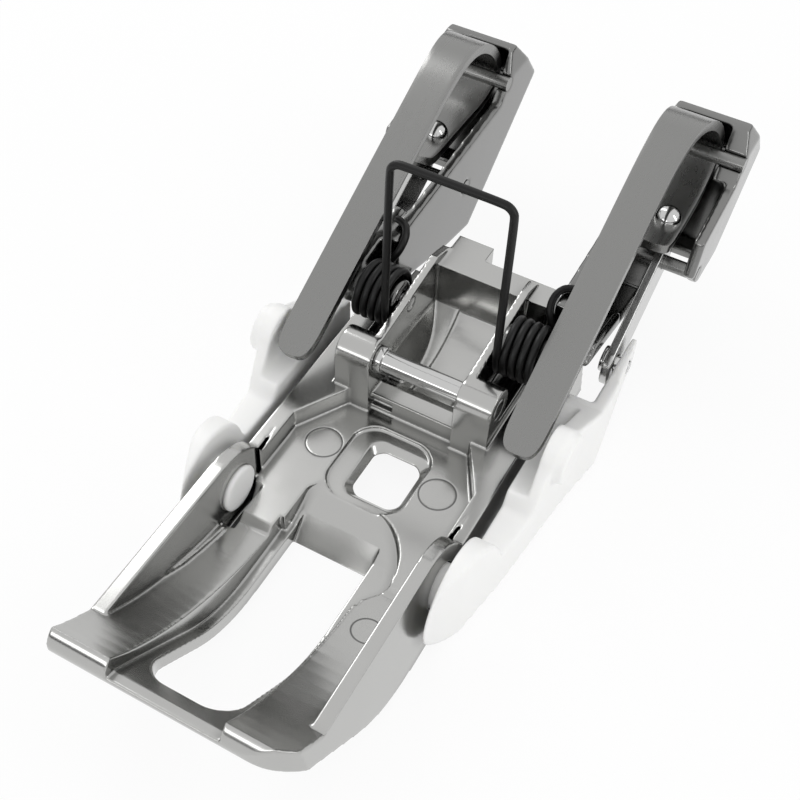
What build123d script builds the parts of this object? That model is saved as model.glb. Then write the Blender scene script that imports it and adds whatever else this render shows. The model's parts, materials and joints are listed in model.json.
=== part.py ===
from build123d import *
import math
import os

# Even-feed presser foot for a household zigzag sewing machine.
# Frame: +X to the right, +Y to the rear, +Z up, in millimetres.
# The shapes are drawn with the needle at x = y = 0 and the underside of the sole at z = 0.
# They are set down with the origin straight below the snap pin.

# Sole plate
sole_half_width = 10.2
side_flare = 0.8
rail_thickness = 1.25
rail_top = 9.1
rail_rear_y = -10.0
rail_slope_end_y = -4.5
toe_base = 2.8
toe_middle_y = -20.5
toe_middle_z = 5.9
floor_top = 3.5
floor_front_y = -9.5
floor_slope_run = 1.4
pocket_floor = 1.3
platform_top = 5.5
sole_rear_y = 21.0

# Toes
toe_start_y = -10.4
toe_tip_y = -30.6
toe_tip_top = 12.6
toe_tip_bottom = 9.3
toe_bottom_start_y = -14.0
toe_bottom_bend_y = -22.0
toe_bottom_bend_z = 2.9
toe_crease_x = 8.3
toe_crease_lift = 0.35
toe_corner_right = 5.0
toe_corner_left = 1.3
opening_half_width = 4.8
opening_rear_y = -4.3
ramp_break_y = -6.1
ramp_break_z = 2.2
ramp_foot_y = -8.1
scoop_left = 4.4
scoop_right = 6.5
ledge_width = 1.0
ledge_thickness = 1.6
front_bar_depth = 2.2
opening_front_corner = 2.4
lip_radius = 0.9

# Needle window
window_width = 4.6
window_length = 5.4
window_centre_x = 0.9
window_corner = 1.2
window_recess = 0.3
window_recess_margin = 1.6
window_bevel = 0.6
mark_radius = 1.65
mark_x = 5.73
mark_y = 0.35
mark_groove = 0.14

# Ankle block that snaps to the holder
lug_inner = 4.2
lug_outer = 7.7
lug_front_y = 5.5
snap_pin_y = 7.4
snap_pin_z = 8.9
snap_pin_radius = 1.0
barrel_radius = 1.9
lug_deck = 6.9
cheek_thickness = 0.8
cheek_front_top = 10.6
cheek_rear_top = 12.2
saddle_floor = 4.6
sill_top = 5.4
back_wall_front_y = 18.4
back_wall_top = 11.4
back_wall_left = 5.0
back_wall_right = 7.2
relief_left = 1.6
relief_right = 3.4
relief_depth = 0.25
collar_radius = 1.25
collar_width = 0.7
rear_tab_width = 3.6
rear_tab_reach = 2.0

# Spring, its pivot pins and its bail
axle_y = 13.3
axle_z = 10.6
axle_radius = 0.75
pin_head_radius = 1.7
pin_head_thickness = 0.6
wire = 0.78
coil_radius = 2.6
coil_turns = 4.42
coil_points_per_turn = 12
coil_lead = 0.15
corner_steps = 4
hook_steps = 6
wire_facets = 10
coil_gap = 0.15
bail_top_z = 28.1
bail_corner = 1.1
spring_hook_height = 13.95
spring_hook_y = 18.9
running_gap = 0.05

# Arms
eye_inner = 9.5
eye_thickness = 1.0
eye_radius = 1.95
sleeve_radius = 1.85
arm_inner = 7.9
arm_wall = 1.1
arm_outer = 16.9
arm_start_y = 17.4
arm_start_top = 13.3
arm_jog_y = 21.5
arm_shoulder_y = 38.8
arm_shoulder_z = 14.9
head_top_y = 43.2
head_top_z = 19.3
head_roof = 1.2
head_rear_y = 47.6
head_rear_z = 13.9
head_low_y = 38.5
head_low_z = 6.9
head_bevel = 0.8
outer_rim = 2.4
outer_wall_start_y = 30.0
arm_low_y = 33.5
arm_low_z = 3.0

# Levers
lever_clearance = 0.35
tool_reach = 60.0
strip_width = 3.5
lever_thickness = 0.95
lever_tip_y = 3.4
lever_tip_z = 8.8
lever_apex_y = 33.2
lever_apex_z = 24.0
lever_crown_radius = 2.2
tongue_width = 3.4
tongue_front_y = 29.3
tongue_z = 12.75
pivot_y = 40.3
pivot_z = 16.6
pivot_radius = 0.7
pivot_barrel = 1.75
stud_x = 12.46
stud_y = 33.4
stud_radius = 0.75
stud_dome_radius = 1.3

# Side feed shoes
shoe_inner = 11.4
shoe_outer = 15.7
shoe_top_outer = 14.7
shoe_tail_inner = 13.8
shoe_tail_start_y = 15.0
shoe_flat_end_y = 13.0
shoe_pivot_y = -8.5
shoe_pivot_z = 4.9
shoe_lobe_radius = 4.8
shoe_waist_z = 5.0
shoe_tail_length = 12.0
shoe_taper = 1.4
hub_radius = 2.0
hub_clearance = 0.08
hub_lip = 0.2
hub_lip_thickness = 0.4
boss_y = 5.8
boss_z = 8.5
boss_radius = 2.3
boss_height = 0.7
lobe_inner = 13.2
lobe_split_z = 6.4
tooth_pitch = 1.6
tooth_depth = 0.5

# Drive links
link_inner = 12.7
link_thickness = 0.8
link_end_radius = 2.3
link_pin_radius = 0.7
link_top_y = 31.8
link_top_z = 9.4
link_low_y = 21.8
link_low_z = 4.5
link_play = 0.2
pin_head_step = 0.5

# Worked-out values
sole_bottom_half = sole_half_width + side_flare
rail_inner = sole_half_width - rail_thickness
eye_outer = eye_inner + eye_thickness
coil_inner_end = lug_inner + cheek_thickness + coil_gap
coil_pitch = wire + 0.02
first_coil_x = coil_inner_end + wire / 2
lever_inner = arm_inner + arm_wall + lever_clearance
lever_outer = lever_inner + strip_width
shoe_tail_end_y = shoe_flat_end_y + shoe_tail_length
tongue_outer = arm_outer - outer_rim - lever_clearance
tongue_inner = tongue_outer - tongue_width


def side_face(points):
    """Face drawn in side view, from (y, z) points."""
    return Plane.YZ * make_face(Polyline(*points, close=True))


def across(face, x_low, x_high):
    """Solid swept sideways from a side-view face."""
    return Pos(x_low, 0, 0) * extrude(face, amount=x_high - x_low, dir=(1, 0, 0))


def cross_cylinder(radius, y, z, x_low, x_high):
    """Cylinder that lies across the foot."""
    disc = Plane.YZ * Pos(y, z, 0) * Circle(radius)
    return across(disc, x_low, x_high)


def block(x_low, x_high, y_low, y_high, z_low, z_high):
    """Straight block between two corners."""
    box = Box(x_high - x_low, y_high - y_low, z_high - z_low, align=(Align.MIN, Align.MIN, Align.MIN))
    return Pos(x_low, y_low, z_low) * box


def plan_prism(points, z_low, z_high):
    """Solid raised from a plan-view outline of (x, y) points."""
    face = Pos(0, 0, z_low) * make_face(Polyline(*points, close=True))
    return extrude(face, amount=z_high - z_low)


def toe_top(lift):
    """Curved upper line of the toes, raised by lift."""
    start = (toe_start_y, toe_base + lift)
    middle = (toe_middle_y, toe_middle_z + lift)
    end = (toe_tip_y + lip_radius, toe_tip_top + lift)
    return ThreePointArc(start, middle, end)


def toe_under(rear_y, lift):
    """Underside of the sole: flat, then turned up like a ski."""
    flat = Line((rear_y, lift), (toe_bottom_start_y, lift))
    bend = TangentArc(flat @ 1, (toe_bottom_bend_y, toe_bottom_bend_z + lift), tangent=(-1, 0))
    ski = Line(bend @ 1, (toe_tip_y + lip_radius, toe_tip_bottom + lift))
    return [flat, bend, ski]


def sole_profile(rear_y):
    """Side view of the sole, with a rounded lip at the toes' front."""
    under = toe_under(rear_y, 0)
    back = toe_top(0)
    middle_z = (toe_tip_top + toe_tip_bottom) / 2
    lip = ThreePointArc(under[-1] @ 1, (toe_tip_y, middle_z), back @ 1)
    deck = Line(back @ 0, (rear_y, toe_base))
    close = Line(deck @ 1, (rear_y, 0))
    return Plane.YZ * make_face(under + [lip, back, deck, close])


def above_toe(lift):
    """Side view of the space above the toes' surface raised by lift."""
    back = toe_top(lift)
    over = toe_tip_top + 4
    front = Line(back @ 1, (toe_tip_y - 2, toe_tip_top + lift))
    rise = Line(front @ 1, (toe_tip_y - 2, over))
    top = Line(rise @ 1, (toe_start_y, over))
    close = Line(top @ 1, back @ 0)
    return Plane.YZ * make_face([back, front, rise, top, close])


def above_ledge():
    """Side view of the space above the thin ledge round the toe opening."""
    under = toe_under(ramp_foot_y - 0.2, ledge_thickness)
    over = toe_tip_top + 4
    front = Line(under[-1] @ 1, (toe_tip_y - 2, toe_tip_bottom + ledge_thickness + 1))
    rise = Line(front @ 1, (toe_tip_y - 2, over))
    top = Line(rise @ 1, (ramp_foot_y - 0.2, over))
    close = Line(top @ 1, under[0] @ 0)
    return Plane.YZ * make_face(under + [front, rise, top, close])


def flared_envelope():
    """Outer sides of the sole, wider at the underside than at the rails."""
    reach = toe_tip_top + 1
    top_half = sole_bottom_half - side_flare * reach / rail_top
    points = [(-sole_bottom_half, 0), (sole_bottom_half, 0), (top_half, reach), (-top_half, reach)]
    face = Plane.XZ * make_face(Polyline(*points, close=True))
    length = sole_rear_y - toe_tip_y
    return Pos(0, sole_rear_y, 0) * extrude(face, amount=length)


def rails():
    """Upright side rails that grow out of the toes and end in a rounded shoulder."""
    front_y = toe_middle_y - 6
    top = Line((front_y, rail_top), (rail_rear_y, rail_top))
    shoulder = TangentArc(top @ 1, (rail_slope_end_y, platform_top), tangent=(1, 0))
    tail = Line(shoulder @ 1, (sole_rear_y, platform_top))
    down = Line(tail @ 1, (sole_rear_y, 1))
    under = Line(down @ 1, (toe_bottom_start_y, 1))
    nose = Line(under @ 1, (toe_bottom_bend_y, toe_bottom_bend_z + 0.5))
    close = Line(nose @ 1, top @ 0)
    face = Plane.YZ * make_face([top, shoulder, tail, down, under, nose, close])
    right = across(face, rail_inner, sole_bottom_half)
    return right + mirror(right, about=Plane.YZ)


def toe_shoulders():
    """Slightly raised outer strips of the toes, beside the rails."""
    plan = [
        (toe_crease_x, toe_start_y - 1.2),
        (toe_crease_x + 0.3, toe_middle_y + 3.4),
        (toe_crease_x + 1.2, toe_middle_y - 2.6),
        (sole_half_width, toe_middle_y - 3.5),
        (sole_half_width, toe_start_y - 1.2),
    ]
    strip = plan_prism(plan, toe_base - 0.5, toe_tip_top)
    low = across(above_toe(-0.2), -sole_half_width, sole_half_width)
    high = across(above_toe(toe_crease_lift), -sole_half_width - 1, sole_half_width + 1)
    right = (strip & low) - high
    return right + mirror(right, about=Plane.YZ)


def floor_plate():
    """Raised floor round the needle window, with sloped front ends."""
    half_front = rail_inner - 1.1
    rear_y = lug_front_y + 3
    foot_y = floor_front_y - floor_slope_run
    side = [
        (foot_y, 1),
        (foot_y, toe_base - 0.7),
        (floor_front_y, floor_top),
        (rear_y, floor_top),
        (rear_y, 1),
    ]
    plan = [
        (-half_front, foot_y - 1),
        (half_front, foot_y - 1),
        (half_front, floor_front_y),
        (half_front + 1.25, rail_slope_end_y),
        (half_front + 1.9, 0),
        (half_front + 1.9, rear_y),
        (-half_front - 1.9, rear_y),
        (-half_front - 1.9, 0),
        (-half_front - 1.25, rail_slope_end_y),
        (-half_front, floor_front_y),
    ]
    return across(side_face(side), -sole_half_width, sole_half_width) & plan_prism(plan, 0, floor_top + 1)


def pockets():
    """Deep pockets between the floor's edges and the rails."""
    inner = rail_inner - 1.1
    plan = [
        (inner, floor_front_y - 1.6),
        (inner, floor_front_y),
        (inner + 1.25, rail_slope_end_y),
        (inner + 1.75, -0.9),
        (rail_inner + 0.5, rail_slope_end_y),
        (rail_inner, rail_slope_end_y - 1.2),
        (rail_inner, floor_front_y - 1.6),
    ]
    right = plan_prism(plan, pocket_floor, rail_top + 1)
    return right + mirror(right, about=Plane.YZ)


def platforms():
    """Raised triangular decks beside the ankle block."""
    inner = lug_outer - 1.6
    points = [
        (rail_inner + 0.8, rail_slope_end_y),
        (rail_inner + 0.6, -0.4),
        (inner, lug_front_y),
        (inner, sole_rear_y),
        (sole_bottom_half, sole_rear_y),
        (sole_bottom_half, rail_slope_end_y),
    ]
    right = plan_prism(points, 1, platform_top)
    return right + mirror(right, about=Plane.YZ)


def scoop_outline():
    """Edge of the toe opening at floor level, seen from above."""
    front_y = floor_front_y - 3
    left = Line((-scoop_left, front_y), (-scoop_left, opening_rear_y - 0.3))
    corner = Line(left @ 1, (-scoop_left + 0.9, opening_rear_y + 1.1))
    rear = Line(corner @ 1, (1.4, opening_rear_y + 0.5))
    sweep_points = [(4.5, opening_rear_y - 0.7), (scoop_right - 0.3, -7.6), (scoop_right, floor_front_y - 0.3)]
    right = Spline(rear @ 1, *sweep_points)
    tongue = Line(right @ 1, (opening_half_width + 0.3, floor_front_y - 2.3))
    down = Line(tongue @ 1, (opening_half_width + 0.3, front_y))
    close = Line(down @ 1, left @ 0)
    return make_face([left, corner, rear, right, tongue, down, close])


def toe_opening():
    """Open fork between the toes, with a ramp at the rear and a ledge inside."""
    over = toe_tip_top + 2
    inner = opening_half_width - ledge_width
    side = [
        (toe_tip_y - 2, -1),
        (ramp_foot_y, -1),
        (ramp_foot_y, 0),
        (ramp_break_y, ramp_break_z),
        (opening_rear_y, floor_top),
        (opening_rear_y, over),
        (toe_tip_y - 2, over),
    ]
    length = opening_rear_y - toe_tip_y - front_bar_depth + opening_front_corner
    hole = Rectangle(2 * inner, length)
    corners = fillet(hole.vertices().sort_by(Axis.Y)[:2], opening_front_corner)
    middle_y = toe_tip_y + front_bar_depth + length / 2
    shaft = Pos(0, middle_y, -1) * extrude(corners, amount=over + 1)
    through = across(side_face(side), -inner, inner) & shaft
    upper = across(above_ledge(), -opening_half_width, opening_half_width)
    ramp_side = [
        (floor_front_y - 3, ledge_thickness),
        (ramp_foot_y + 0.6, ledge_thickness),
        (ramp_break_y, ramp_break_z),
        (opening_rear_y, floor_top - window_recess),
        (0, floor_top + 0.6),
        (0, over),
        (floor_front_y - 3, over),
    ]
    ramp = across(side_face(ramp_side), -sole_half_width, sole_half_width)
    scoop = ramp & extrude(scoop_outline(), amount=over)
    return through + upper + scoop


def needle_window():
    """Rounded window with bevelled edges in a shallow recess, and two round moulding marks."""
    outline = RectangleRounded(window_width, window_length, window_corner)
    wide = RectangleRounded(window_width + 2 * window_bevel, window_length + 2 * window_bevel, window_corner)
    centre = Pos(window_centre_x, 0, 0)
    hole = centre * extrude(outline, amount=floor_top + 1)
    rim_z = floor_top - window_recess
    rim_plane = Pos(window_centre_x, 0, rim_z)
    bevel = loft([Pos(window_centre_x, 0, rim_z - window_bevel) * outline, rim_plane * wide])
    recess_width = window_width + 2 * window_recess_margin
    recess_length = window_length + 2 * window_recess_margin
    recess_face = RectangleRounded(recess_width, recess_length, 2 * window_corner)
    recess = Pos(0, 0.2, rim_z) * extrude(recess_face, amount=2)
    marks = moulding_mark(mark_x) + moulding_mark(-mark_x)
    return hole + bevel + recess + marks


def moulding_mark(x):
    """Fine round groove left by the mould."""
    outer = Circle(mark_radius + mark_groove / 2)
    ring = outer - Circle(mark_radius - mark_groove / 2)
    return Pos(x, mark_y, floor_top - mark_groove) * extrude(ring, amount=1)


def ankle_side():
    """Right lug, its coil deck and the thin cheek that holds the axle."""
    deck = block(lug_inner, lug_outer, lug_front_y, sole_rear_y, 1, lug_deck)
    front = block(lug_inner, lug_outer, lug_front_y, snap_pin_y, 1, snap_pin_z)
    barrel = cross_cylinder(barrel_radius, snap_pin_y, snap_pin_z, lug_inner, lug_outer)
    cheek_points = [
        (snap_pin_y, lug_deck - 2),
        (snap_pin_y - 1.2, cheek_front_top - 0.6),
        (snap_pin_y, cheek_front_top),
        (back_wall_front_y, cheek_rear_top),
        (sole_rear_y, back_wall_top),
        (sole_rear_y, lug_deck - 2),
    ]
    cheek = across(side_face(cheek_points), lug_inner, lug_inner + cheek_thickness)
    return deck + front + barrel + cheek


def dish(drop):
    """Curved line of the saddle floor, lowered by drop."""
    start = (snap_pin_y + 1.6, saddle_floor - drop)
    middle = (axle_y, saddle_floor - 0.3 - drop)
    return ThreePointArc(start, middle, (back_wall_front_y, saddle_floor + 2.2 - drop))


def saddle():
    """Curved cradle between the cheeks, open to the front for the holder."""
    front = Line((lug_front_y + 0.6, 1), (lug_front_y + 0.6, sill_top))
    sill = Line(front @ 1, (snap_pin_y + 0.4, sill_top))
    floor_line = dish(0)
    step = Line(sill @ 1, floor_line @ 0)
    wall = Line(floor_line @ 1, (back_wall_front_y, back_wall_top))
    top = Line(wall @ 1, (sole_rear_y, back_wall_top))
    down = Line(top @ 1, (sole_rear_y, 1))
    close = Line(down @ 1, front @ 0)
    face = Plane.YZ * make_face([front, sill, step, floor_line, wall, top, down, close])
    cradle = across(face, -lug_inner - 0.1, lug_inner + 0.1)
    wall_block = block(
        -back_wall_left, back_wall_right, back_wall_front_y, sole_rear_y, 1, back_wall_top
    )
    tab = block(
        -lug_inner, -lug_inner + rear_tab_width, sole_rear_y - 1, sole_rear_y + rear_tab_reach, 7, back_wall_top
    )
    low = dish(relief_depth)
    sides = [
        low,
        Line(low @ 1, (back_wall_front_y, sill_top + 4)),
        Line((back_wall_front_y, sill_top + 4), (snap_pin_y + 1.6, sill_top + 4)),
        Line((snap_pin_y + 1.6, sill_top + 4), low @ 0),
    ]
    relief = across(Plane.YZ * make_face(sides), -relief_left, relief_right)
    corner = [(lug_inner + 0.1, sill_top + 1.6), (lug_inner - 1.7, saddle_floor - 0.4), (lug_inner + 0.1, 2)]
    wedge_face = Plane.XZ * make_face(Polyline(*corner, close=True))
    wedge = Pos(0, back_wall_front_y + 0.2, 0) * extrude(wedge_face, amount=back_wall_front_y - snap_pin_y - 1.8)
    notch = block(-lug_inner, -lug_inner + 2.2, lug_front_y - 0.4, lug_front_y + 1.2, floor_top + 0.4, sill_top - 0.4)
    return cradle + wall_block + tab - relief - notch + wedge + mirror(wedge, about=Plane.YZ)


def toe_corner(side, radius):
    """Waste outside the rounded outer corner of one toe, seen from above."""
    edge_x = sole_bottom_half
    start = (side * (edge_x - radius), toe_tip_y)
    middle = (side * (edge_x - 0.293 * radius), toe_tip_y + 0.293 * radius)
    end = (side * edge_x, toe_tip_y + radius)
    arc = ThreePointArc(start, middle, end)
    far_x = side * (edge_x + 1)
    out = Polyline(end, (far_x, toe_tip_y + radius), (far_x, toe_tip_y - 1), (start[0], toe_tip_y - 1), start)
    return Pos(0, 0, -1) * extrude(make_face([arc, out]), amount=toe_tip_top + 3)


def build_sole():
    """The whole casting."""
    body = across(sole_profile(sole_rear_y), -sole_bottom_half, sole_bottom_half)
    body = (body + rails() + floor_plate() + platforms() + toe_shoulders()) & flared_envelope()
    body -= toe_corner(1, toe_corner_right) + toe_corner(-1, toe_corner_left)
    body -= pockets()
    body -= toe_opening()
    body -= needle_window()
    side = ankle_side()
    body += side + mirror(side, about=Plane.YZ) + saddle()
    body -= cross_cylinder(axle_radius, axle_y, axle_z, -lug_outer, lug_outer)
    body -= cross_cylinder(snap_pin_radius, snap_pin_y, snap_pin_z, -lug_outer - 1, lug_outer + 1)
    hub = cross_cylinder(hub_radius + hub_clearance, shoe_pivot_y, shoe_pivot_z, 8, sole_bottom_half + 1)
    hub += cross_cylinder(hub_radius + hub_lip + 0.3, shoe_pivot_y, shoe_pivot_z, 7.8, rail_inner)
    body -= hub + mirror(hub, about=Plane.YZ)
    return body


def snap_pin():
    """Cross pin for the holder, with a small collar at its left end."""
    pin = cross_cylinder(snap_pin_radius, snap_pin_y, snap_pin_z, -lug_outer, lug_outer)
    collar = cross_cylinder(collar_radius, snap_pin_y, snap_pin_z, -lug_inner, -lug_inner + collar_width)
    return pin + collar


def pivot_pin():
    """Headed pin pressed into the cheek; the arm turns on it."""
    head_start = eye_outer + running_gap
    shank = cross_cylinder(axle_radius, axle_y, axle_z, lug_inner, head_start)
    head_end = head_start + pin_head_thickness
    return shank + cross_cylinder(pin_head_radius, axle_y, axle_z, head_start, head_end)


def coil_point(turn):
    """Point on the right coil's centre line, counted in turns from the foot of the bail."""
    angle = 2 * math.pi * turn
    x = first_coil_x + coil_pitch * turn**2 / (turn + coil_lead)
    return (x, axle_y - coil_radius * math.cos(angle), axle_z - coil_radius * math.sin(angle))


def bail_half():
    """Centre line of half the bail, from the middle of its top bar to the foot of its leg."""
    leg_y = axle_y - coil_radius
    points = [(0, leg_y, bail_top_z)]
    for step in range(corner_steps + 1):
        angle = math.pi / 2 * step / corner_steps
        x = first_coil_x - bail_corner + bail_corner * math.sin(angle)
        points.append((x, leg_y, bail_top_z - bail_corner + bail_corner * math.cos(angle)))
    return points


def coil_and_hook():
    """Centre line of the right coil and of the end that hooks over the arm's inner wall."""
    steps = int(coil_turns * coil_points_per_turn)
    coil = [coil_point(index / coil_points_per_turn) for index in range(steps + 1)]
    inboard = arm_inner - wire / 2 - 0.15
    rise = (inboard + 0.1, spring_hook_y - 1.6, spring_hook_height - 1.2)
    over = (inboard + 0.35, spring_hook_y - 0.1, spring_hook_height)
    last = (arm_inner + arm_wall + 0.3, spring_hook_y + 0.5, spring_hook_height)
    leaving = Vector(*coil[-1]) - Vector(*coil[-2])
    hook = Spline(coil[-1], rise, over, last, tangents=[leaving.normalized(), (1, 0.2, 0)])
    for step in range(1, hook_steps + 1):
        coil.append(tuple(hook @ (step / hook_steps)))
    return coil


def round_wire(points):
    """Wire of round section that follows a line of points."""
    sections = []
    side = Vector(0, 1, 0)
    last = len(points) - 1
    for index, point in enumerate(points):
        before = Vector(*points[max(index - 1, 0)])
        after = Vector(*points[min(index + 1, last)])
        along = (after - before).normalized()
        side = (side - along * side.dot(along)).normalized()
        sections.append(Plane(origin=point, x_dir=side, z_dir=along) * RegularPolygon(wire / 2, wire_facets))
    return loft(sections, ruled=True)


def bail_spring():
    """One wire: two coils, the square bail between them and two hooked ends."""
    right_half = bail_half() + coil_and_hook()
    left_half = [(-x, y, z) for x, y, z in reversed(right_half[1:])]
    return round_wire(left_half + right_half)


def head_outline(front_points):
    """Rear outline of an arm wall, closed by its own front points."""
    rear = [
        (arm_shoulder_y, arm_shoulder_z),
        (head_top_y - head_roof, head_top_z),
        (head_top_y, head_top_z),
        (head_rear_y, head_rear_z),
    ]
    return side_face(rear + front_points)


def arm_walls():
    inner_front = [
        (arm_low_y, arm_low_z),
        (28.5, 4.0),
        (arm_start_y, 7.4),
        (arm_start_y, arm_start_top),
    ]
    inner = across(head_outline(inner_front), arm_inner, arm_inner + arm_wall)
    outer_front = [
        (head_low_y, head_low_z),
        (outer_wall_start_y + 3.0, head_low_z + 0.3),
        (outer_wall_start_y, 10.2),
        (outer_wall_start_y + 1, 13.8),
    ]
    outer = across(head_outline(outer_front), arm_outer - arm_wall, arm_outer)
    rim_points = [
        (arm_shoulder_y, arm_shoulder_z),
        (head_top_y - head_roof, head_top_z),
        (head_top_y, head_top_z),
        (head_top_y + 0.6, head_top_z - 1.2),
        (arm_shoulder_y + 1.2, arm_shoulder_z - 0.8),
    ]
    rim = across(side_face(rim_points), arm_outer - outer_rim, arm_outer)
    return inner + outer + rim


def head_shell():
    """Sloping rear wall and short floor that close the hooked head."""
    thickness = arm_wall
    points = [
        (head_top_y - head_roof, head_top_z),
        (head_top_y, head_top_z),
        (head_rear_y, head_rear_z),
        (head_low_y, head_low_z),
        (head_low_y - 2.5, head_low_z + 0.1),
        (head_low_y - 2.5, head_low_z + thickness + 0.1),
        (head_low_y - 0.4, head_low_z + thickness),
        (head_rear_y - 1.7, head_rear_z + 0.1),
    ]
    return across(side_face(points), arm_inner, arm_outer)


def head_envelope():
    """Bevelled cross-section of the head."""
    low = head_top_z - 2.2
    points = [
        (0, -1),
        (arm_outer, -1),
        (arm_outer, low),
        (arm_outer - head_bevel, head_top_z),
        (arm_inner + head_bevel, head_top_z),
        (arm_inner, low),
        (0, low),
    ]
    face = Plane.XZ * make_face(Polyline(*points, close=True))
    return Pos(0, head_rear_y + 1, 0) * extrude(face, amount=head_rear_y + 2)


def arm_frame():
    """Right arm: sleeve and eye on the pivot pin, deep inner wall, hooked head."""
    sleeve = cross_cylinder(sleeve_radius, axle_y, axle_z, coil_inner_end, eye_inner + 0.2)
    eye = cross_cylinder(eye_radius, axle_y, axle_z, eye_inner, eye_outer)
    neck_points = [
        (axle_y, axle_z + eye_radius),
        (arm_jog_y, arm_start_top + 0.3),
        (arm_jog_y, 6.6),
        (axle_y + 1, axle_z - eye_radius),
    ]
    neck = across(side_face(neck_points), eye_inner, eye_outer)
    jog = block(arm_inner, eye_outer, arm_start_y, arm_jog_y, 7.4, arm_start_top)
    frame = sleeve + eye + neck + jog + arm_walls() + head_shell()
    frame &= head_envelope()
    bore = axle_radius + running_gap
    frame -= cross_cylinder(bore, axle_y, axle_z, 0, arm_outer + 1)
    frame -= cross_cylinder(pivot_radius, pivot_y, pivot_z, 0, arm_outer + 1)
    frame -= cross_cylinder(link_pin_radius, link_top_y, link_top_z, 0, arm_outer + 1)
    return frame


def sheet_path(points, radius):
    """Bent sheet in side view, drawn along its middle."""
    line = FilletPolyline(*points, radius=radius)
    return Plane.YZ * trace(line, line_width=lever_thickness)


def lever():
    """Bent sheet: long finger strip, crown into the head, tongue with the guide stud."""
    crown = [(lever_tip_y, lever_tip_z), (lever_apex_y, lever_apex_z), (pivot_y + 0.9, pivot_z + 2.0)]
    strip = across(sheet_path(crown, lever_crown_radius), lever_inner, lever_outer)
    half = strip_width / 2
    middle = lever_inner + half
    tip = Pos(middle, lever_tip_y + half, 0) * Circle(half)
    rest = Pos(middle, tool_reach / 2 + lever_tip_y + half, 0) * Rectangle(strip_width, tool_reach)
    strip &= extrude(tip + rest, amount=tool_reach)
    hook = [
        (pivot_y - 2.8, pivot_z + 4.6),
        (pivot_y + 0.9, pivot_z + 2.0),
        (pivot_y + 2.3, pivot_z - 0.2),
        (pivot_y - 0.2, pivot_z - 2.6),
        (pivot_y - 3.6, tongue_z),
        (tongue_front_y, tongue_z),
    ]
    bend = across(sheet_path(hook, 0.9), lever_inner, tongue_outer)
    cut = block(lever_inner - 1, tongue_inner, tongue_front_y - 1, pivot_y - 0.5, tongue_z - 2, pivot_z + 0.5)
    bend -= cut
    barrel = cross_cylinder(pivot_barrel, pivot_y, pivot_z, lever_inner, tongue_outer)
    body = strip + bend + barrel
    body -= cross_cylinder(pivot_radius + running_gap, pivot_y, pivot_z, 0, arm_outer)
    body -= Pos(stud_x, stud_y, tongue_z) * Cylinder(stud_radius, 4)
    return body


def lever_pin():
    return cross_cylinder(pivot_radius, pivot_y, pivot_z, arm_inner, arm_outer)


def guide_stud():
    """Domed stud riveted through the tongue."""
    top = tongue_z + lever_thickness / 2
    shank = Pos(stud_x, stud_y, tongue_z) * Cylinder(stud_radius, lever_thickness)
    dome = Pos(stud_x, stud_y, top) * Sphere(stud_dome_radius)
    above = block(stud_x - 2, stud_x + 2, stud_y - 2, stud_y + 2, top, top + 2)
    return shank + (dome & above)


def shoe_plan():
    """Outer edge of the shoe seen from above."""
    points = [
        (shoe_inner, shoe_pivot_y - 7.5),
        (shoe_inner + 0.3, shoe_pivot_y - 3.6),
        (shoe_inner + 1.5, shoe_pivot_y - 0.3),
        (shoe_inner + 2.4, -3),
        (shoe_inner + 3.4, boss_y + 1.4),
        (shoe_outer, shoe_flat_end_y),
        (shoe_outer - shoe_taper / 2, shoe_flat_end_y + shoe_tail_length / 2),
        (shoe_outer - shoe_taper, shoe_tail_end_y + 0.5),
        (shoe_inner, shoe_tail_end_y + 0.5),
    ]
    return plan_prism(points, -1, 14)


def shoe_section():
    """Cross-section limits: the plate leans outwards towards its lower edge."""
    top = boss_z + boss_radius + 0.3
    points = [(shoe_inner, -1), (shoe_outer, -1), (shoe_outer, 0), (shoe_top_outer, top), (shoe_inner, top)]
    face = Plane.XZ * make_face(Polyline(*points, close=True))
    return Pos(0, tool_reach / 2, 0) * extrude(face, amount=tool_reach)


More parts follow.
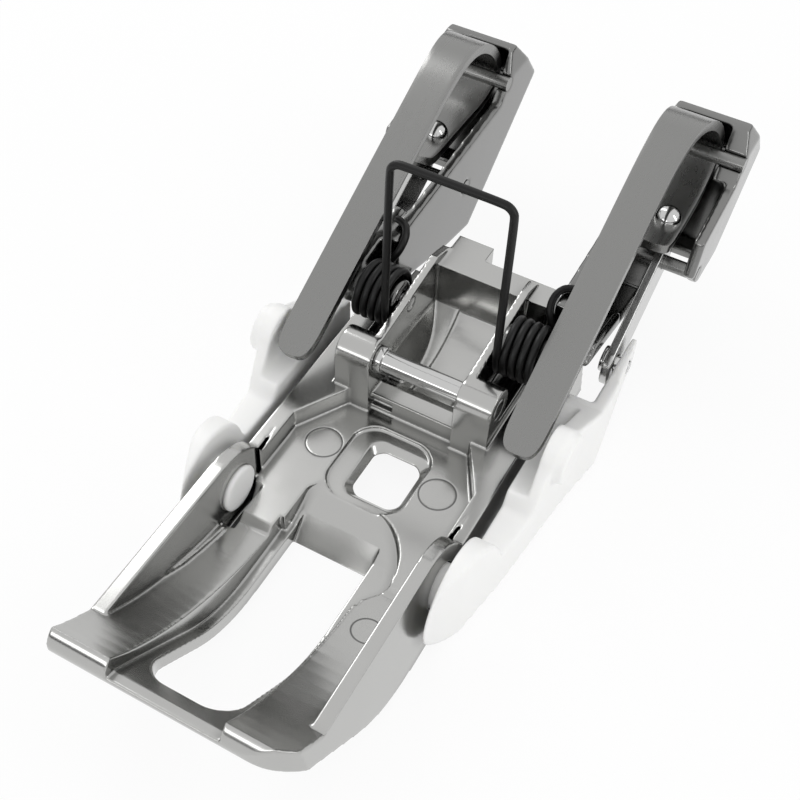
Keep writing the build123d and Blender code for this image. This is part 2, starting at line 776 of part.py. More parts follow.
def shoe():
    outline = [
        (shoe_pivot_y, shoe_pivot_z - shoe_lobe_radius),
        (shoe_flat_end_y, 0.1),
        (shoe_tail_end_y, link_low_z - 1.5),
        (shoe_tail_end_y - 0.4, link_low_z + 1.1),
        (shoe_tail_start_y - 0.8, link_low_z + 1.4),
        (boss_y + 2.2, boss_z + 1.0),
        (boss_y - 2.2, boss_z + 1.0),
        (1.0, shoe_waist_z),
        (-3.4, shoe_waist_z),
        (-5.0, shoe_pivot_z + 3.2),
        (shoe_pivot_y, shoe_pivot_z + 3.6),
    ]
    plate = side_face(outline)
    plate += Plane.YZ * Pos(shoe_pivot_y, shoe_pivot_z) * Circle(shoe_lobe_radius)
    plate += Plane.YZ * Pos(boss_y, boss_z) * Circle(boss_radius + 0.2)
    body = across(plate, shoe_inner, shoe_outer) & shoe_plan() & shoe_section()
    body -= block(0, lobe_inner, -2.5, shoe_tail_start_y, lobe_split_z, 14)
    body -= block(0, shoe_tail_inner, shoe_tail_start_y, tool_reach, -1, 14)
    body += cross_cylinder(boss_radius, boss_y, boss_z, lobe_inner, shoe_top_outer + boss_height)
    count = int((shoe_flat_end_y - shoe_pivot_y) / tooth_pitch)
    for index in range(count):
        tooth_y = shoe_pivot_y + tooth_pitch * (index + 0.5)
        notch = [
            (tooth_y - tooth_pitch * 0.3, 0),
            (tooth_y, tooth_depth + 0.1),
            (tooth_y + tooth_pitch * 0.3, 0),
        ]
        body -= across(side_face(notch), shoe_inner - 1, shoe_outer + 1)
    lip_start = rail_inner - running_gap - hub_lip_thickness
    body += cross_cylinder(hub_radius, shoe_pivot_y, shoe_pivot_z, lip_start, shoe_inner + 0.5)
    lip_end = lip_start + hub_lip_thickness
    body += cross_cylinder(hub_radius + hub_lip, shoe_pivot_y, shoe_pivot_z, lip_start, lip_end)
    body -= cross_cylinder(link_pin_radius, link_low_y, link_low_z, 0, shoe_outer + 1)
    return body


def drive_link():
    """Flat plate that carries the arm's rocking down to the shoe."""
    top = cross_cylinder(link_end_radius, link_top_y, link_top_z, link_inner, link_inner + link_thickness)
    low = cross_cylinder(link_end_radius, link_low_y, link_low_z, link_inner, link_inner + link_thickness)
    run = link_top_y - link_low_y
    rise = link_top_z - link_low_z
    length = math.hypot(run, rise)
    off_y = -rise / length * link_end_radius
    off_z = run / length * link_end_radius
    sides = [
        (link_top_y + off_y, link_top_z + off_z),
        (link_low_y + off_y, link_low_z + off_z),
        (link_low_y - off_y, link_low_z - off_z),
        (link_top_y - off_y, link_top_z - off_z),
    ]
    plate = across(side_face(sides), link_inner, link_inner + link_thickness)
    body = top + low + plate
    bore = link_pin_radius + running_gap
    body -= cross_cylinder(bore, link_top_y, link_top_z, 0, arm_outer)
    body -= cross_cylinder(link_pin_radius + link_play, link_low_y, link_low_z, 0, arm_outer)
    return body


def link_top_pin():
    return cross_cylinder(link_pin_radius, link_top_y, link_top_z, arm_inner, arm_outer)


def link_low_pin():
    """Pin pressed into the shoe, with a thin head inside the link."""
    head_start = link_inner - running_gap - pin_head_step
    pin = cross_cylinder(link_pin_radius, link_low_y, link_low_z, head_start, shoe_outer - 0.9)
    head_end = link_inner - running_gap
    return pin + cross_cylinder(link_pin_radius + 0.6, link_low_y, link_low_z, head_start, head_end)


os.makedirs("parts", exist_ok=True)

single = {
    "sole": build_sole(),
    "snap_pin": snap_pin(),
    "bail_spring": bail_spring(),
}
paired = {
    "pivot_pin": pivot_pin(),
    "arm": arm_frame(),
    "lever": lever(),
    "lever_pin": lever_pin(),
    "guide_stud": guide_stud(),
    "shoe": shoe(),
    "drive_link": drive_link(),
    "link_top_pin": link_top_pin(),
    "link_low_pin": link_low_pin(),
}

set_down = Pos(0, -snap_pin_y, 0)

for name, shape in single.items():
    export_step(set_down * shape, f"parts/{name}.step")

for name, shape in paired.items():
    export_step(set_down * shape, f"parts/{name}_right.step")
    export_step(set_down * mirror(shape, about=Plane.YZ), f"parts/{name}_left.step")
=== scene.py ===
# %% [markdown]
# # An even-feed presser foot, finished in Blender
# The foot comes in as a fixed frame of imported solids, one per physical piece.
# This lesson gives it the look of the real thing: softened cast edges, satin
# plating, black spring wire and white nylon. Everything is in metres.

# %% Load the frame
import json
import math
import bmesh
import bpy
from mathutils import Matrix, Vector


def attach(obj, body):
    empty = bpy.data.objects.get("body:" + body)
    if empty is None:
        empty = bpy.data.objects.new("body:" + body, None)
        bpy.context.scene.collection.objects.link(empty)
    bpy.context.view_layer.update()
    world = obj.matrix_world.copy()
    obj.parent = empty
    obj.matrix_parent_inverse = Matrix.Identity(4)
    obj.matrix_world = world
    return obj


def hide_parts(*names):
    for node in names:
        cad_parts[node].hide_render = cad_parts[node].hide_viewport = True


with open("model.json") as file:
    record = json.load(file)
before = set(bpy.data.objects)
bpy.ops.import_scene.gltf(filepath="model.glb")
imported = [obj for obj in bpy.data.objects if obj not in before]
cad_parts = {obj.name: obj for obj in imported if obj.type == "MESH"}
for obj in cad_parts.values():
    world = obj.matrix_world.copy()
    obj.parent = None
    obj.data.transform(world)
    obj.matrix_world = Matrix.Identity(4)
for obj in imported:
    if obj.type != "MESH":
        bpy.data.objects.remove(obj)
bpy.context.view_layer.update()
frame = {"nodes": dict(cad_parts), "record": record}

mm = 0.001

# %% [markdown]
# ## The camera
# The camera stands to the front right of the foot and looks steeply down.
# Its distance and lens were found by matching the long parallel edges of
# the arms and rails, so it is set from three angles and one point.

# %% Camera
camera_azimuth = math.radians(26.45)
camera_elevation = math.radians(49.52)
camera_roll = math.radians(3.07)
camera_place = Vector((30.58, -65.23, 89.83)) * mm
focal_in_pixels = 1230.5
image_width = 800

back = Vector((
    math.sin(camera_azimuth) * math.cos(camera_elevation),
    -math.cos(camera_azimuth) * math.cos(camera_elevation),
    math.sin(camera_elevation),
))
level_right = Vector((math.cos(camera_azimuth), math.sin(camera_azimuth), 0))
level_up = back.cross(level_right)
right = level_right * math.cos(camera_roll) + level_up * math.sin(camera_roll)
up = back.cross(right)

bpy.ops.object.camera_add(location=camera_place)
camera = bpy.context.object
camera.name = "camera"
camera.rotation_euler = Matrix((right, up, back)).transposed().to_euler()
camera.data.sensor_width = 36
camera.data.lens = focal_in_pixels / image_width * 36
camera.data.clip_start = 0.001
bpy.context.scene.camera = camera
print("lens", round(camera.data.lens, 2), "mm")

# %% [markdown]
# ## Working by hand, in code
# Every operator acts on what is selected. These helpers clear the
# selection first, so that each step touches one piece only.

# %% Selection helpers
def pick(piece):
    bpy.ops.object.select_all(action="DESELECT")
    piece.select_set(True)
    bpy.context.view_layer.objects.active = piece


def edit(piece):
    pick(piece)
    bpy.ops.object.mode_set(mode="EDIT")


def leave_edit():
    bpy.ops.object.mode_set(mode="OBJECT")


# %% [markdown]
# ## Soft edges on pins and plates
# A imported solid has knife-sharp edges. Real pins and plates are tumbled
# before they are plated, so each edge is a small radius that catches a line
# of light. A Bevel modifier could do this with one width, but it would spoil
# narrow faces. So each sharp edge gets a bevel weight: full where the faces
# beside it are wide, and less where they are narrow.

# %% How much room an edge has
sharp_angle = math.radians(28)
least_slant = 0.45  # a neighbour flatter than this runs along the edge
room_share = 0.45  # two bevels that meet on a face leave a little of it


def room_beside(edge):
    start = edge.verts[0].co
    along = (edge.verts[1].co - start).normalized()
    room = 1.0
    for loop in edge.link_loops:
        reach = max((v.co - start).cross(along).length for v in loop.face.verts)
        room = min(room, reach)
        for near in (loop.link_loop_prev.edge, loop.link_loop_next.edge):
            side = near.verts[1].co - near.verts[0].co
            slant = side.normalized().cross(along).length
            if slant > least_slant:
                room = min(room, side.length * slant)
    return room


def weigh_edges(piece, width):
    mesh = bmesh.new()
    mesh.from_mesh(piece.data)
    weight = mesh.edges.layers.float.new("bevel_weight_edge")
    for edge in mesh.edges:
        if len(edge.link_faces) == 2 and edge.calc_face_angle(0) > sharp_angle:
            edge[weight] = min(1.0, room_share * room_beside(edge) / width)
    mesh.to_mesh(piece.data)
    mesh.free()


# %% [markdown]
# The frame's solids stay as they are. Each finished piece starts as a copy
# whose loose triangles are welded together, and then stands for its solid
# and moves with the same body.

# %% Copies that stand for a node
weld_distance = 0.02 * mm


def welded_copy(node):
    pick(frame["nodes"][node])
    bpy.ops.object.duplicate()
    piece = bpy.context.object
    piece.name = node + "_finished"
    edit(piece)
    bpy.ops.mesh.select_all(action="SELECT")
    bpy.ops.mesh.remove_doubles(threshold=weld_distance)
    return piece


def body_of(node):
    for body, members in frame["record"]["behaviour"]["bodies"].items():
        if node in members:
            return body


def stand_for(piece, node):
    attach(piece, body_of(node))
    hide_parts(node)


# %% Rounded copies
flat_angle = math.radians(1)
smooth_angle = math.radians(40)
edge_segments = 3


def rounded_copy(node, width):
    piece = welded_copy(node)
    bpy.ops.mesh.dissolve_limited(angle_limit=flat_angle)
    leave_edit()
    weigh_edges(piece, width * mm)
    edit(piece)
    bpy.ops.mesh.select_all(action="SELECT")
    bpy.ops.mesh.quads_convert_to_tris(quad_method="BEAUTY", ngon_method="BEAUTY")
    leave_edit()
    bevel = piece.modifiers.new("edge radius", "BEVEL")
    bevel.width = width * mm
    bevel.segments = edge_segments
    bevel.limit_method = "WEIGHT"
    bevel.use_clamp_overlap = False
    bevel.loop_slide = False
    bevel.face_strength_mode = "FSTR_ALL"
    bpy.ops.object.modifier_apply(modifier=bevel.name)
    bpy.ops.object.shade_smooth_by_angle(angle=smooth_angle)
    even = piece.modifiers.new("flat faces stay flat", "WEIGHTED_NORMAL")
    even.keep_sharp = True
    even.use_face_influence = True
    bpy.ops.object.modifier_apply(modifier=even.name)
    print(node, "rounded by", width, "mm,", len(piece.data.polygons), "faces")
    return piece


# %% Pins and link plates
# radius of the edges, in millimetres
edge_widths = {
    "drive_link_right": 0.12, "drive_link_left": 0.12,
    "pivot_pin_right": 0.12, "pivot_pin_left": 0.12,
    "link_low_pin_right": 0.1, "link_low_pin_left": 0.1,
    "snap_pin": 0.1,
}
finished = {}
for node, width in edge_widths.items():
    finished[node] = rounded_copy(node, width)
    stand_for(finished[node], node)

# %% [markdown]
# ## The hollow under the needle window
# The sole is thin round the needle window. A shallow hollow underneath
# leaves a plate there, so the light comes through the whole window. It is
# cut out as a miller would: a block is set in place and taken away.

# %% Hollow
# lowest and highest corner (x, y, z) of the hollow, in millimetres
hollows = {"sole": ((-4.3, -11.3, -0.5), (5.6, -2.6, 2.5))}


def hollow_out(piece, low, high):
    size = Vector(high) - Vector(low)
    bpy.ops.mesh.primitive_cube_add(size=1, location=(Vector(low) + size / 2) * mm)
    waste = bpy.context.object
    waste.scale = size * mm
    bpy.ops.object.transform_apply(location=False, rotation=False, scale=True)
    pick(piece)
    cut = piece.modifiers.new("hollow", "BOOLEAN")
    cut.operation = "DIFFERENCE"
    cut.object = waste
    bpy.ops.object.modifier_apply(modifier=cut.name)
    bpy.data.objects.remove(waste)
    pick(piece)


# %% [markdown]
# ## Moulded nylon
# The side shoes are moulded, so even their inner corners are soft. A voxel
# remesh turns the copy into one even skin, and a few rounds of smoothing
# melt its corners together, as the mould does. The same way serves for the
# castings later, and Decimate then drops what a smooth face doesn't need.

# %% Even skin
def moulded_copy(node, voxel, rounds, share=1.0, web=0):
    piece = welded_copy(node)
    leave_edit()
    if node in hollows:
        hollow_out(piece, *hollows[node])
    if web:
        add_web(piece, web)
    skin = piece.modifiers.new("even skin", "REMESH")
    skin.mode = "VOXEL"
    skin.voxel_size = voxel * mm
    bpy.ops.object.modifier_apply(modifier=skin.name)
    melt = piece.modifiers.new("soft corners", "SMOOTH")
    melt.factor = 0.5
    melt.iterations = rounds
    bpy.ops.object.modifier_apply(modifier=melt.name)
    if share < 1:
        fewer = piece.modifiers.new("fewer faces", "DECIMATE")
        fewer.ratio = share
        bpy.ops.object.modifier_apply(modifier=fewer.name)
    bpy.ops.object.shade_smooth()
    print(node, "moulded,", len(piece.data.polygons), "faces")
    return piece


# %% Moulded shoes
shoe_voxel = 0.16
shoe_rounds = 12
for side in ("right", "left"):
    node = "shoe_" + side
    finished[node] = moulded_copy(node, shoe_voxel, shoe_rounds)
    stand_for(finished[node], node)

# %% [markdown]
# ## The castings
# The sole and the arms are zinc castings. Their skin is made in the same
# way as the shoes'. Each arm gets the thin web that ties its inner wall to
# the head's floor, and a rib on it. They overlap the wall, and the remesh
# makes one body of them.

# %% Arm webs
web_edge = 0.3
# inner x, outer x, front (y, z), rear (y, z), thickness, all in millimetres
web_strips = (
    (8.6, 12.0, (9.8, 7.6), (25.8, 3.5), 0.9),
    (8.6, 12.2, (25.2, 3.4), (29.4, 7.6), 0.9),
    (11.2, 12.0, (11.0, 7.9), (18.5, 6.0), 1.6),
)


def add_web(piece, sign):
    for inner, outer, front, rear, thickness in web_strips:
        run = Vector((0, rear[0] - front[0], rear[1] - front[1]))
        middle = Vector((
            (inner + outer) / 2 * sign, (front[0] + rear[0]) / 2, (front[1] + rear[1]) / 2,
        ))
        bpy.ops.object.select_all(action="DESELECT")
        bpy.ops.mesh.primitive_cube_add(size=1)
        web = bpy.context.object
        web.scale = Vector((outer - inner, run.length, thickness)) * mm
        web.rotation_euler.x = math.atan2(run.z, run.y)
        web.location = middle * mm
        bpy.ops.object.transform_apply(location=True, rotation=True, scale=True)
        edit(web)
        bpy.ops.mesh.select_all(action="SELECT")
        bpy.ops.mesh.bevel(offset=web_edge * mm, segments=2)
        leave_edit()
        pick(web)
        piece.select_set(True)
        bpy.context.view_layer.objects.active = piece
        bpy.ops.object.join()
    pick(piece)


# %% Sole and arms
sole_voxel = 0.1
sole_rounds = 8
sole_share = 0.21  # keeps the piece under 200,000 triangles
arm_voxel = 0.15
arm_rounds = 20
finished["sole"] = moulded_copy("sole", sole_voxel, sole_rounds, sole_share)
stand_for(finished["sole"], "sole")
for side, sign in (("right", 1), ("left", -1)):
    node = "arm_" + side
    finished[node] = moulded_copy(node, arm_voxel, arm_rounds, web=sign)
    stand_for(finished[node], node)

# %% [markdown]
# ## Bent sheet levers
# Each lever is one strip of spring steel. It starts as the rounded finger
# tip, runs up straight, rolls over the head's pin and comes forward again
# as the tongue that carries the stud. One short edge is extruded along that
# path, then the surface is smoothed and given the thickness of the sheet.

# %% Sheet path
sheet_thickness = 0.95
sheet_edge = 0.16
# inner x, outer x, y, z of the strip from tip to tongue, in millimetres
path_points = (
    (10.3, 11.9, -3.9, 8.92),
    (9.7, 12.5, -3.5, 9.1),
    (9.38, 12.82, -2.4, 9.66),
    (9.36, 12.84, -0.4, 10.68),
    (9.36, 12.84, 20.6, 21.3),
    (9.36, 12.95, 23.8, 22.55),
    (9.36, 13.2, 26.4, 23.05),
    (9.36, 13.5, 28.8, 22.6),
    (9.36, 13.8, 30.8, 21.4),
    (9.4, 14.0, 32.5, 19.8),
    (9.5, 14.1, 33.6, 18.2),
    (9.7, 14.1, 34.6, 16.5),
    (9.9, 14.1, 34.0, 14.8),
    (10.2, 14.1, 32.2, 13.6),
    (10.6, 14.1, 30.0, 12.95),
    (10.75, 14.1, 27.1, 12.75),
    (10.75, 14.1, 22.9, 12.75),
    (10.9, 13.95, 22.0, 12.75),
)


# %% Bending the sheet
def bent_sheet(name, sign):
    inner, outer, y, z = path_points[0]
    centre = Vector(((inner + outer) / 2 * sign, y, z)) * mm
    width = (outer - inner) * mm
    bpy.ops.mesh.primitive_plane_add(size=1, location=centre)
    piece = bpy.context.object
    piece.name = name
    piece.scale = (width, 1, 1)
    bpy.ops.object.transform_apply(location=True, rotation=False, scale=True)
    edit(piece)
    bpy.ops.mesh.select_all(action="SELECT")
    bpy.ops.transform.resize(value=(1, 0, 1), center_override=centre)
    bpy.ops.mesh.remove_doubles(threshold=0.01 * mm)
    for inner, outer, y, z in path_points[1:]:
        place = Vector(((inner + outer) / 2 * sign, y, z)) * mm
        move = {"value": place - centre}
        bpy.ops.mesh.extrude_region_move(TRANSFORM_OT_translate=move)
        wider = (outer - inner) * mm / width
        bpy.ops.transform.resize(value=(wider, 1, 1), center_override=place)
        centre = place
        width *= wider
    leave_edit()
    for kind, label in (("SUBSURF", "smooth path"), ("SOLIDIFY", "sheet"), ("BEVEL", "edges")):
        step = piece.modifiers.new(label, kind)
        if kind == "SUBSURF":
            step.levels = 3
            step.render_levels = 3
        if kind == "SOLIDIFY":
            step.thickness = sheet_thickness * mm
            step.offset = 0
        if kind == "BEVEL":
            step.width = sheet_edge * mm
            step.segments = 3
            step.limit_method = "ANGLE"
            step.angle_limit = math.radians(60)  # the sheet's own rim only
        bpy.ops.object.modifier_apply(modifier=step.name)
    edit(piece)
    bpy.ops.mesh.select_all(action="SELECT")
    bpy.ops.mesh.normals_make_consistent(inside=False)
    leave_edit()
    bpy.ops.object.shade_smooth_by_angle(angle=smooth_angle)
    print(name, len(piece.data.polygons), "faces")
    return piece


for side, sign in (("right", 1), ("left", -1)):
    node = "lever_" + side
    finished[node] = bent_sheet(node + "_finished", sign)
    stand_for(finished[node], node)

# %% [markdown]
# ## Drawn spring wire
# The wire of the bail is ten-sided in the frame. Its sides are joined into
# long quads and subdivided, which makes the wire and its coils truly round.

# %% Round wire
wire = welded_copy("bail_spring")
join_angle = math.radians(60)
bpy.ops.mesh.tris_convert_to_quads(face_threshold=join_angle, shape_threshold=join_angle)
leave_edit()
rounder = wire.modifiers.new("round wire", "SUBSURF")
rounder.levels = 2
rounder.render_levels = 2
bpy.ops.object.modifier_apply(modifier=rounder.name)
bpy.ops.object.shade_smooth()
finished["bail_spring"] = wire
stand_for(wire, "bail_spring")
print("wire", len(wire.data.polygons), "faces")

# %% [markdown]
# ## Shared surface effects
# Effects that finishes share are node groups with named inputs, each built
# once: the faint mottle of plating, fine drawn lines, painted shade that
# darkens crevices, and the thin rings that a mould's pins leave, painted dark
# as the shade of a fine groove.

# %% Group helper
def group(name, inputs, outputs):
    made = bpy.data.node_groups.new(name, "ShaderNodeTree")
    for label, kind, value in inputs:
        socket = made.interface.new_socket(label, in_out="INPUT", socket_type=kind)
        if value is not None:
            socket.default_value = value
    for label, kind in outputs:
        made.interface.new_socket(label, in_out="OUTPUT", socket_type=kind)
    entry = made.nodes.new("NodeGroupInput")
    leave = made.nodes.new("NodeGroupOutput")
    return made, entry, leave


# %% Mottle group
plating, entry, leave = group(
    "plating mottle",
    [("Scale", "NodeSocketFloat", 300), ("Low", "NodeSocketFloat", 0.2),
     ("High", "NodeSocketFloat", 0.35)],
    [("Roughness", "NodeSocketFloat"), ("Height", "NodeSocketFloat")],
)
place = plating.nodes.new("ShaderNodeTexCoord")
cloud = plating.nodes.new("ShaderNodeTexNoise")
cloud.inputs["Detail"].default_value = 4
spread = plating.nodes.new("ShaderNodeMapRange")
links = plating.links
links.new(place.outputs["Object"], cloud.inputs["Vector"])
links.new(entry.outputs["Scale"], cloud.inputs["Scale"])
links.new(cloud.outputs["Fac"], spread.inputs["Value"])
links.new(entry.outputs["Low"], spread.inputs["To Min"])
links.new(entry.outputs["High"], spread.inputs["To Max"])
links.new(spread.outputs["Result"], leave.inputs["Roughness"])
links.new(cloud.outputs["Fac"], leave.inputs["Height"])
print("group", plating.name)

# %% Drawn-line group
drawn, entry, leave = group(
    "drawn lines",
    [("Stretch", "NodeSocketVector", (2500, 60, 2500)), ("Low", "NodeSocketFloat", 0.2),
     ("High", "NodeSocketFloat", 0.4)],
    [("Roughness", "NodeSocketFloat"), ("Height", "NodeSocketFloat")],
)
place = drawn.nodes.new("ShaderNodeTexCoord")
turn = drawn.nodes.new("ShaderNodeMapping")
lines = drawn.nodes.new("ShaderNodeTexNoise")
lines.inputs["Scale"].default_value = 1
lines.inputs["Detail"].default_value = 3
spread = drawn.nodes.new("ShaderNodeMapRange")
links = drawn.links
links.new(place.outputs["Object"], turn.inputs["Vector"])
links.new(entry.outputs["Stretch"], turn.inputs["Scale"])
links.new(turn.outputs["Vector"], lines.inputs["Vector"])
links.new(lines.outputs["Fac"], spread.inputs["Value"])
links.new(entry.outputs["Low"], spread.inputs["To Min"])
links.new(entry.outputs["High"], spread.inputs["To Max"])
links.new(spread.outputs["Result"], leave.inputs["Roughness"])
links.new(lines.outputs["Fac"], leave.inputs["Height"])
print("group", drawn.name)

# %% Painted crevice shade group
crevice, entry, leave = group(
    "painted crevice shade",
    [("Reach", "NodeSocketFloat", 0.0012),
     ("Open", "NodeSocketColor", (0.5, 0.5, 0.5, 1)),
     ("Deep", "NodeSocketColor", (0.1, 0.1, 0.1, 1))],
    [("Color", "NodeSocketColor")],
)
# Ambient occlusion mixes the Deep colour into the base colour in crevices: painted shade.
hidden = crevice.nodes.new("ShaderNodeAmbientOcclusion")
hidden.samples = 6
tones = crevice.nodes.new("ShaderNodeMix")
tones.data_type = "RGBA"
links = crevice.links
links.new(entry.outputs["Reach"], hidden.inputs["Distance"])
links.new(hidden.outputs["AO"], tones.inputs["Factor"])
links.new(entry.outputs["Deep"], tones.inputs["A"])
links.new(entry.outputs["Open"], tones.inputs["B"])
links.new(tones.outputs["Result"], leave.inputs["Color"])
print("group", crevice.name)

# %% Ring group
ring, entry, leave = group(
    "engraved ring",
    [("Centre", "NodeSocketVector", (0, 0, 0)), ("Radius", "NodeSocketFloat", 0.0016),
     ("Width", "NodeSocketFloat", 0.0001)],
    [("Mask", "NodeSocketFloat")],
)


def ring_sum(kind, first, second=None):
    node = ring.nodes.new("ShaderNodeMath")
    node.operation = kind
    for slot, value in enumerate((first, second)):
        if isinstance(value, float):
            node.inputs[slot].default_value = value
        elif value is not None:
            ring.links.new(value, node.inputs[slot])
    return node.outputs[0]


place = ring.nodes.new("ShaderNodeTexCoord")
shift = ring.nodes.new("ShaderNodeVectorMath")
shift.operation = "SUBTRACT"
ring.links.new(place.outputs["Object"], shift.inputs[0])
ring.links.new(entry.outputs["Centre"], shift.inputs[1])
flat = ring.nodes.new("ShaderNodeVectorMath")
flat.operation = "MULTIPLY"
flat.inputs[1].default_value = (1, 1, 0)
ring.links.new(shift.outputs[0], flat.inputs[0])
reach = ring.nodes.new("ShaderNodeVectorMath")
reach.operation = "LENGTH"
ring.links.new(flat.outputs[0], reach.inputs[0])
offset = ring_sum("SUBTRACT", reach.outputs["Value"], entry.outputs["Radius"])
widths_away = ring_sum("DIVIDE", ring_sum("ABSOLUTE", offset), entry.outputs["Width"])
near = ring_sum("SUBTRACT", 1.0, ring_sum("MINIMUM", widths_away, 1.0))
height = ring.nodes.new("ShaderNodeSeparateXYZ")
ring.links.new(shift.outputs[0], height.inputs[0])
above = ring_sum("GREATER_THAN", height.outputs["Z"], 0.0)
ring.links.new(ring_sum("MULTIPLY", near, above), leave.inputs["Mask"])
print("group", ring.name)

# %% [markdown]
# ## Finishes
# The Principled shader stays in each material. Its constant values sit on
# its own sockets, and only what changes over the surface comes by a link.

# %% Finish helpers
relief_depth = 0.02 * mm


def finish(name, colour, metallic, roughness):
    material = bpy.data.materials.new(name)
    material.use_nodes = True
    shader = material.node_tree.nodes["Principled BSDF"]
    shader.inputs["Base Color"].default_value = (*colour, 1)
    shader.inputs["Metallic"].default_value = metallic
    shader.inputs["Roughness"].default_value = roughness
    return material, shader


def surface_effect(material, shader, effect, bump, values):
    tree = material.node_tree
    node = tree.nodes.new("ShaderNodeGroup")
    node.node_tree = effect
    for label, value in values.items():
        node.inputs[label].default_value = value
    tree.links.new(node.outputs["Roughness"], shader.inputs["Roughness"])
    relief = tree.nodes.new("ShaderNodeBump")
    relief.inputs["Strength"].default_value = bump
    relief.inputs["Distance"].default_value = relief_depth
    tree.links.new(node.outputs["Height"], relief.inputs["Height"])
    tree.links.new(relief.outputs["Normal"], shader.inputs["Normal"])
    return node


# Painted shade: the base colour turns darker in crevices and inner corners.
def paint_crevice_shade(material, shader, reach, deep):
    tree = material.node_tree
    node = tree.nodes.new("ShaderNodeGroup")
    node.node_tree = crevice
    node.inputs["Reach"].default_value = reach * mm
    node.inputs["Open"].default_value = shader.inputs["Base Color"].default_value
    node.inputs["Deep"].default_value = (*deep, 1)
    tree.links.new(node.outputs["Color"], shader.inputs["Base Color"])


def wear(piece, material):
    piece.data.materials.clear()
    piece.data.materials.append(material)


# %% [markdown]
# The ejector pins of the mould leave faint rings on the casting. A groove
# this fine is drawn in the material as a dark line of painted shade, at its
# own place on the piece.

# %% Moulding marks
# centre (x, y, lowest z) and radius, in millimetres
moulding_marks = (
    ((5.73, -7.05, 1.0), 1.65),
    ((-5.73, -7.05, 1.0), 1.65),
    ((7.15, -21.8, 1.0), 1.3),
)
ring_width = 0.12
# The rings are painted dark: painted shade standing for the fine groove.
ring_painted_shade = 0.06


def draw_ring(material, shader, centre, radius):
    tree = material.node_tree
    node = tree.nodes.new("ShaderNodeGroup")
    node.node_tree = ring
    node.inputs["Centre"].default_value = Vector(centre) * mm
    node.inputs["Radius"].default_value = radius * mm
    node.inputs["Width"].default_value = ring_width * mm
    tone = tree.nodes.new("ShaderNodeMix")
    tone.data_type = "RGBA"
    tree.links.new(node.outputs["Mask"], tone.inputs["Factor"])
    under = shader.inputs["Base Color"].links[0].from_socket
    tree.links.new(under, tone.inputs["A"])
    # The ring darkens the base colour: painted shade of the groove.
    tone.inputs["B"].default_value = (ring_painted_shade, ring_painted_shade, ring_painted_shade, 1)
    tree.links.new(tone.outputs["Result"], shader.inputs["Base Color"])


# %% [markdown]
# The sole is satin nickel over zinc, and the arms wear the same plating with
# a darker base colour. Both are plain metal with a faint mottle, and their
# crevices get a darker base colour as painted shade.

# %% Satin plating of the castings
# The colour of the painted shade in the arms' crevices.
crevice_shade_tone = (0.06, 0.06, 0.06)
body_plating, body_shader = finish("satin_plating", (0.45, 0.45, 0.44), 1.0, 0.2)
surface_effect(
    body_plating, body_shader, plating, 0.04, {"Scale": 260, "Low": 0.13, "High": 0.24},
)
arm_plating, shader = finish("arm_plating", (0.22, 0.22, 0.216), 1.0, 0.2)
surface_effect(arm_plating, shader, plating, 0.04, {"Scale": 220, "Low": 0.14, "High": 0.24})
# Painted shade in the crevices of both castings.
paint_crevice_shade(body_plating, body_shader, 1.1, (0.12, 0.12, 0.12))
for centre, radius in moulding_marks:
    draw_ring(body_plating, body_shader, centre, radius)
paint_crevice_shade(arm_plating, shader, 1.6, crevice_shade_tone)
wear(finished["sole"], body_plating)
for side in ("right", "left"):
    wear(finished["arm_" + side], arm_plating)

# %% [markdown]
# The levers and link plates are cut from rolled strip, whose fine lines run
# along its length. The levers wear a darker copy of the links' finish, and
# its darker tone is painted shade. The cross pins inside the heads sit in
# shade, and wear the same darker copy as painted shade.

# %% Drawn sheet of the levers and links
# A darker copy of the sheet finish: painted shade on the levers and the cross pins.
sheet_steel_painted_shade, shader = finish("satin_sheet_painted_shade", (0.25, 0.25, 0.245), 1.0, 0.3)
surface_effect(
    sheet_steel_painted_shade, shader, drawn, 0.1, {"Stretch": (2200, 120, 2200), "Low": 0.22, "High": 0.34},
)
bright_sheet, shader = finish("bright_sheet", (0.52, 0.52, 0.515), 1.0, 0.25)
surface_effect(
    bright_sheet, shader, drawn, 0.08, {"Stretch": (2000, 100, 2000), "Low": 0.18, "High": 0.28},
)
for side in ("right", "left"):
    wear(finished["lever_" + side], sheet_steel_painted_shade)
    wear(finished["drive_link_" + side], bright_sheet)

# %% [markdown]
# Pins are cut from drawn rod and polished, so the fine lines that remain
# run along the pin's own axis.

# %% Polished pins
polish, shader = finish("polished_pin", (0.55, 0.55, 0.545), 1.0, 0.12)
surface_effect(
    polish, shader, drawn, 0.05, {"Stretch": (120, 2500, 2500), "Low": 0.08, "High": 0.18},
)
for side in ("right", "left"):
    wear(frame["nodes"]["guide_stud_" + side], polish)
    # The polished cross pins get the darker sheet finish as painted shade.
    for name in ("lever_pin_", "link_top_pin_"):
        wear(frame["nodes"][name + side], sheet_steel_painted_shade)
    for name in ("pivot_pin_", "link_low_pin_"):
        wear(finished[name + side], polish)
wear(finished["snap_pin"], polish)

# %% [markdown]
# The spring is music wire with a black oxide skin. It is modelled as a dark
# coat and not as metal, because the oxide hides the steel's mirror.

# %% Black spring wire
black_wire, shader = finish("black_wire", (0.004, 0.004, 0.004), 0.0, 0.4)
surface_effect(black_wire, shader, plating, 0.1, {"Scale": 900, "Low": 0.32, "High": 0.46})
shader.inputs["Specular IOR Level"].default_value = 0.3
wear(finished["bail_spring"], black_wire)

# %% [markdown]
# The shoes are white nylon, which lets light in a little way. A small
# share of subsurface scattering softens its shadows.

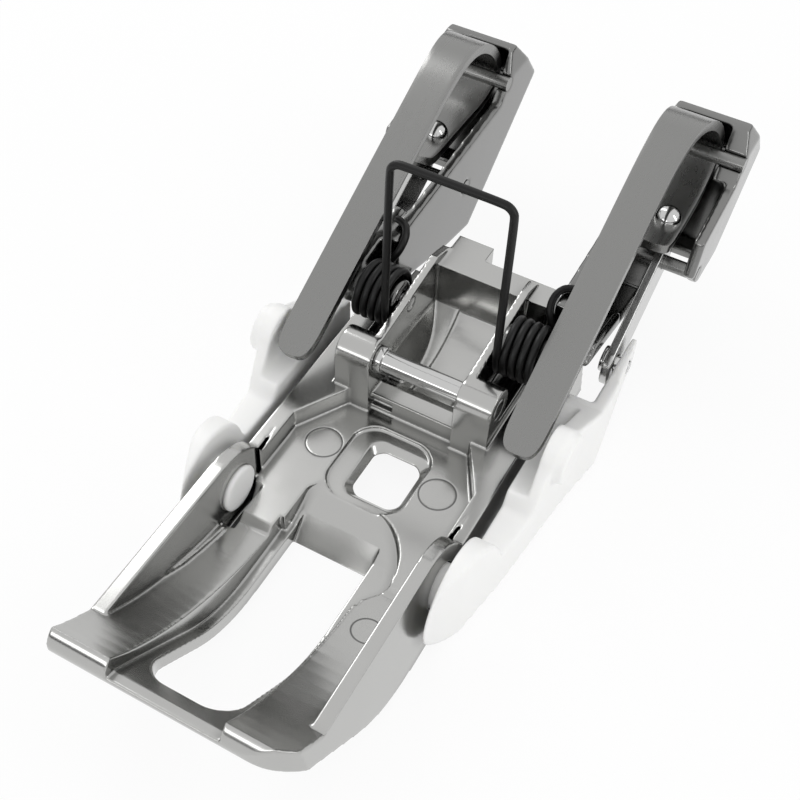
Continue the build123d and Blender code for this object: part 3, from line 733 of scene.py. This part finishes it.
# %% White nylon
nylon, shader = finish("white_nylon", (0.9, 0.9, 0.89), 0.0, 0.45)
surface_effect(nylon, shader, plating, 0.06, {"Scale": 700, "Low": 0.38, "High": 0.5})
shader.inputs["Subsurface Weight"].default_value = 0.2
shader.inputs["Subsurface Radius"].default_value = (1.0, 1.0, 0.9)
shader.inputs["Subsurface Scale"].default_value = 0.8 * mm
for side in ("right", "left"):
    wear(finished["shoe_" + side], nylon)
print("finishes", [m.name for m in bpy.data.materials][-8:])

# %% [markdown]
# ## Floor, backdrop and light
# The photograph is cut out on white. The floor looks white to the camera
# and to reflections: most of its white is its own, and the rest is lit
# paper, which keeps the soft shadow of the foot.

# %% Floor
bpy.ops.mesh.primitive_plane_add(size=1.6, location=(0, 0, -0.02 * mm))
floor = bpy.context.object
floor.name = "floor"
paper, shader = finish("white_paper", (0.9, 0.9, 0.9), 0.0, 0.9)
tree = paper.node_tree
own_white = 0.9
glow = tree.nodes.new("ShaderNodeEmission")
glow.inputs["Color"].default_value = (1, 1, 1, 1)
path = tree.nodes.new("ShaderNodeLightPath")
seen = tree.nodes.new("ShaderNodeMath")
seen.operation = "MAXIMUM"
tree.links.new(path.outputs["Is Camera Ray"], seen.inputs[0])
tree.links.new(path.outputs["Is Glossy Ray"], seen.inputs[1])
share = tree.nodes.new("ShaderNodeMath")
share.operation = "MULTIPLY"
share.inputs[1].default_value = own_white
tree.links.new(seen.outputs[0], share.inputs[0])
blend = tree.nodes.new("ShaderNodeMixShader")
tree.links.new(share.outputs[0], blend.inputs[0])
tree.links.new(shader.outputs[0], blend.inputs[1])
tree.links.new(glow.outputs[0], blend.inputs[2])
tree.links.new(blend.outputs[0], tree.nodes["Material Output"].inputs["Surface"])
wear(floor, paper)

# %% [markdown]
# Shiny metal is only as dark as what it mirrors. A photographer stands a
# low black card round a white table, and each rounded edge mirrors it as a
# thin dark line. The card here is a ring that only reflections can see.

# %% Black card
card_radius = 0.34
card_low = 0.012
card_high = 0.055
bpy.ops.mesh.primitive_cylinder_add(
    vertices=96, radius=card_radius, depth=card_high - card_low, end_fill_type="NOTHING",
    location=(0, 0, (card_low + card_high) / 2),
)
card = bpy.context.object
card.name = "black_card"
card.visible_camera = False
card.visible_diffuse = False
card.visible_shadow = False
card.visible_transmission = False
black_paper, shader = finish("black_paper", (0.01, 0.01, 0.01), 0.0, 1.0)
wear(card, black_paper)

# %% [markdown]
# ## World and lamps
# The world is a plain white room. The camera and the reflections see it at
# full white, and it lights the foot a little less than that. Three weak
# softboxes give the shadow and the highlights a direction.

# %% World
world = bpy.data.worlds.new("studio")
bpy.context.scene.world = world
world.use_nodes = True
tree = world.node_tree
ground = tree.nodes["Background"]
ground.inputs["Color"].default_value = (1, 1, 1, 1)
path = tree.nodes.new("ShaderNodeLightPath")
first = tree.nodes.new("ShaderNodeMath")
first.operation = "MAXIMUM"
seen = tree.nodes.new("ShaderNodeMath")
seen.operation = "MAXIMUM"
tree.links.new(path.outputs["Is Camera Ray"], first.inputs[0])
tree.links.new(path.outputs["Is Transmission Ray"], first.inputs[1])
tree.links.new(first.outputs[0], seen.inputs[0])
tree.links.new(path.outputs["Is Glossy Ray"], seen.inputs[1])
strength = tree.nodes.new("ShaderNodeMapRange")
strength.inputs["To Min"].default_value = 0.85
strength.inputs["To Max"].default_value = 1.0
tree.links.new(seen.outputs[0], strength.inputs["Value"])
tree.links.new(strength.outputs["Result"], ground.inputs["Strength"])

# %% Lamps
def softbox(name, place, aim, size, watts):
    bpy.ops.object.light_add(type="AREA", location=Vector(place) * mm)
    lamp = bpy.context.object
    lamp.name = name
    direction = (Vector(aim) - Vector(place)).normalized()
    lamp.rotation_euler = direction.to_track_quat("-Z", "Y").to_euler()
    lamp.data.shape = "RECTANGLE"
    lamp.data.size = size[0] * mm
    lamp.data.size_y = size[1] * mm
    lamp.data.energy = watts
    return lamp


softbox("back strip", (-190, 140, 190), (0, 5, 5), (50, 220), 0.16)
softbox("right strip", (230, 20, 120), (0, 0, 5), (50, 220), 0.1)
softbox("front strip", (-40, -270, 90), (0, -10, 5), (220, 40), 0.08)
bpy.context.scene.view_settings.view_transform = "Standard"
print("lamps set")
